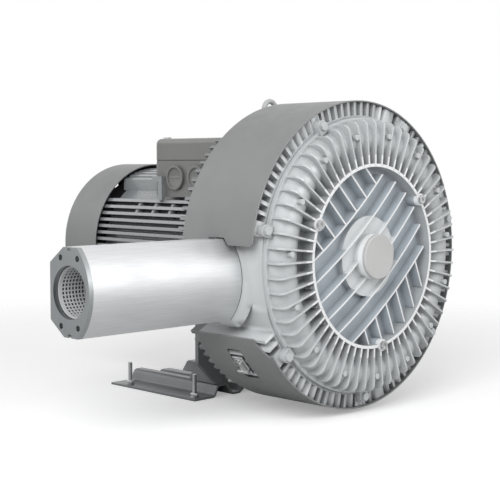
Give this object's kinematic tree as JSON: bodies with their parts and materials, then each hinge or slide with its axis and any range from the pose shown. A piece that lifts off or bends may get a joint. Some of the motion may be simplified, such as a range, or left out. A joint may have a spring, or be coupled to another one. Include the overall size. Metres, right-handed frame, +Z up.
{
  "type": "side channel blower",
  "caption": "Side channel blower with a ribbed round cover, finned flange-mounted motor, terminal box, silencers and a bent foot plate.",
  "frame": {"origin": "on the floor, in the middle of the four foot studs", "axes": "+Z up; -Y out of the ribbed cover; the shaft lies along Y, 206 mm above the floor; the inlet silencer points towards -X"},
  "size_m": [0.616, 0.52, 0.4141],
  "materials": {
    "cast_aluminium": "cast aluminium under thin silver-grey paint, semi-gloss",
    "cap_grey": "light grey cap, matte",
    "zinc_steel": "zinc-plated steel, satin",
    "machined_steel": "turned and ground steel",
    "bare_aluminium": "bare cast and turned aluminium",
    "black_rubber": "black rubber, matte",
    "frame_grey": "aluminium under dull warm grey paint",
    "box_grey": "aluminium under dull warm grey paint",
    "shroud_grey": "sheet steel, dull warm grey paint",
    "plate_steel": "bent sheet steel, grey paint",
    "lamination_steel": "stacked electrical steel",
    "copper_winding": "varnished copper wire",
    "fan_plastic": "black plastic, matte",
    "dark_plastic": "dark plastic, matte",
    "silencer_aluminium": "extruded aluminium, satin",
    "liner_steel": "perforated zinc-plated sheet",
    "absorbing_felt": "sound-absorbing felt"
  },
  "bodies": {
    "stator": {"front_cover": "cast_aluminium", "hub_cap": "cap_grey", "ring_screws": "zinc_steel", "cover_bolts": "zinc_steel", "divider_plate": "bare_aluminium", "blower_housing": "cast_aluminium", "shaft_seal": "black_rubber", "front_bearing_outer_ring": "machined_steel", "drive_bearing_outer_ring": "machined_steel", "rear_bearing_outer_ring": "machined_steel", "preload_spring": "machined_steel", "drive_end_shield": "cast_aluminium", "motor_frame": "frame_grey", "rear_end_shield": "frame_grey", "stator_core": "lamination_steel", "stator_windings": "copper_winding", "fan_cowl": "shroud_grey", "cowl_screws": "zinc_steel", "terminal_box": "box_grey", "lid_gasket": "black_rubber", "terminal_lid": "box_grey", "lid_screws": "zinc_steel", "terminal_board": "dark_plastic", "entry_plugs": "dark_plastic", "earth_lug": "frame_grey", "upper_shroud": "shroud_grey", "lower_shroud": "shroud_grey", "shroud_screws": "zinc_steel", "eyebolt": "zinc_steel", "foot_plate": "plate_steel", "foot_studs": "zinc_steel", "front_support": "plate_steel", "support_bolts": "zinc_steel", "support_nuts": "zinc_steel", "shield_bolts": "zinc_steel", "inlet_silencer_body": "silencer_aluminium", "inlet_end_plate": "silencer_aluminium", "inlet_liner": "liner_steel", "inlet_lining": "absorbing_felt", "inlet_silencer_bolts": "zinc_steel", "outlet_silencer_body": "silencer_aluminium", "outlet_end_plate": "silencer_aluminium", "outlet_liner": "liner_steel", "outlet_lining": "absorbing_felt", "outlet_silencer_bolts": "zinc_steel"},
    "rotor": {"shaft": "machined_steel", "shaft_keys": "machined_steel", "front_impeller": "bare_aluminium", "rear_impeller": "bare_aluminium", "impeller_spacer": "machined_steel", "lock_washer": "zinc_steel", "lock_nut": "zinc_steel", "front_bearing_inner_ring": "machined_steel", "drive_bearing_inner_ring": "machined_steel", "rear_bearing_inner_ring": "machined_steel", "rotor_core": "lamination_steel", "cooling_fan": "fan_plastic", "fan_circlip": "machined_steel"}
  },
  "joints": [
    {"name": "rotor_spin", "type": "hinge", "parent": "stator", "child": "rotor", "pos_m": [0, 0, 0.206], "axis": [0, 1, 0], "continuous": true}
  ]
}
